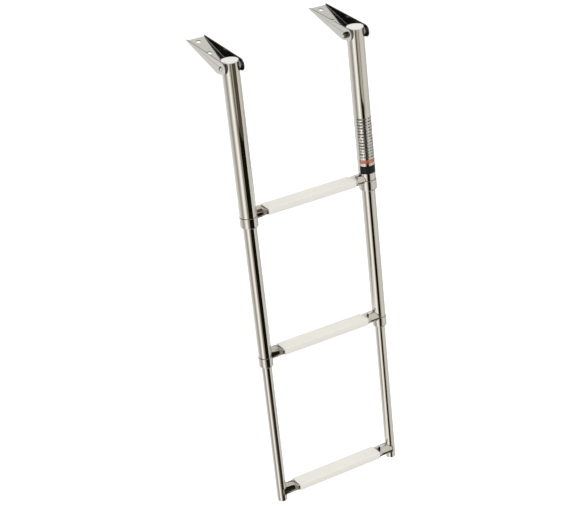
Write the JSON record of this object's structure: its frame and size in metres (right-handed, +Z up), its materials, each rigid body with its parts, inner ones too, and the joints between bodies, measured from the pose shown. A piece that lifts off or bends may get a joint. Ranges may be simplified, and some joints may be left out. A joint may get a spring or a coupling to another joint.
{
  "type": "boat boarding ladder",
  "caption": "Telescoping stainless boarding ladder for a swim platform: nested stile tubes, flattened rungs with plastic treads, and two hinged channel brackets that screw to the deck.",
  "frame": {"origin": "centre of the four deck screw holes, on the deck under the brackets", "axes": "+X from the left stile to the right one, +Y inboard along the brackets, +Z up from the deck"},
  "size_m": [0.299, 0.3933, 0.8871],
  "materials": {
    "bracket_steel": "polished stainless sheet",
    "tube_steel": "mirror-polished stainless tube",
    "fastener_steel": "polished stainless",
    "white_plastic": "moulded, slightly satin off-white",
    "nylon": "natural white nylon",
    "grey_plastic": "moulded grey",
    "label_film": "printed film with plain bands"
  },
  "bodies": {
    "brackets": {"left_bracket": "bracket_steel", "right_bracket": "bracket_steel", "left_hinge_bolt": "fastener_steel", "right_hinge_bolt": "fastener_steel", "left_hinge_nut": "fastener_steel", "right_hinge_nut": "fastener_steel"},
    "upper_section": {"left_upper_tube": "tube_steel", "right_upper_tube": "tube_steel", "left_top_cap": "white_plastic", "right_top_cap": "white_plastic", "left_hinge_bushes": "nylon", "right_hinge_bushes": "nylon", "left_upper_collar": "tube_steel", "right_upper_collar": "tube_steel", "left_upper_guide": "nylon", "right_upper_guide": "nylon", "upper_rung": "tube_steel", "upper_tread": "white_plastic", "side_label": "label_film"},
    "middle_section": {"left_middle_tube": "tube_steel", "right_middle_tube": "tube_steel", "left_middle_slider": "nylon", "right_middle_slider": "nylon", "left_middle_collar": "tube_steel", "right_middle_collar": "tube_steel", "left_middle_guide": "nylon", "right_middle_guide": "nylon", "middle_rung": "tube_steel", "middle_tread": "white_plastic"},
    "lower_section": {"left_lower_tube": "tube_steel", "right_lower_tube": "tube_steel", "left_lower_slider": "nylon", "right_lower_slider": "nylon", "left_foot_plug": "grey_plastic", "right_foot_plug": "grey_plastic", "lower_rung": "tube_steel", "lower_tread": "white_plastic"}
  },
  "joints": [
    {"name": "ladder_swing", "type": "hinge", "parent": "brackets", "child": "upper_section", "pos_m": [0, -0.099, 0.0184], "axis": [-1, 0, 0], "range_deg": [0, 254]},
    {"name": "middle_slide", "type": "slide", "parent": "upper_section", "child": "middle_section", "axis": [0, 0.2756, 0.9613], "range_m": [0, 0.256]},
    {"name": "lower_slide", "type": "slide", "parent": "middle_section", "child": "lower_section", "axis": [0, 0.2756, 0.9613], "range_m": [0, 0.272]}
  ]
}
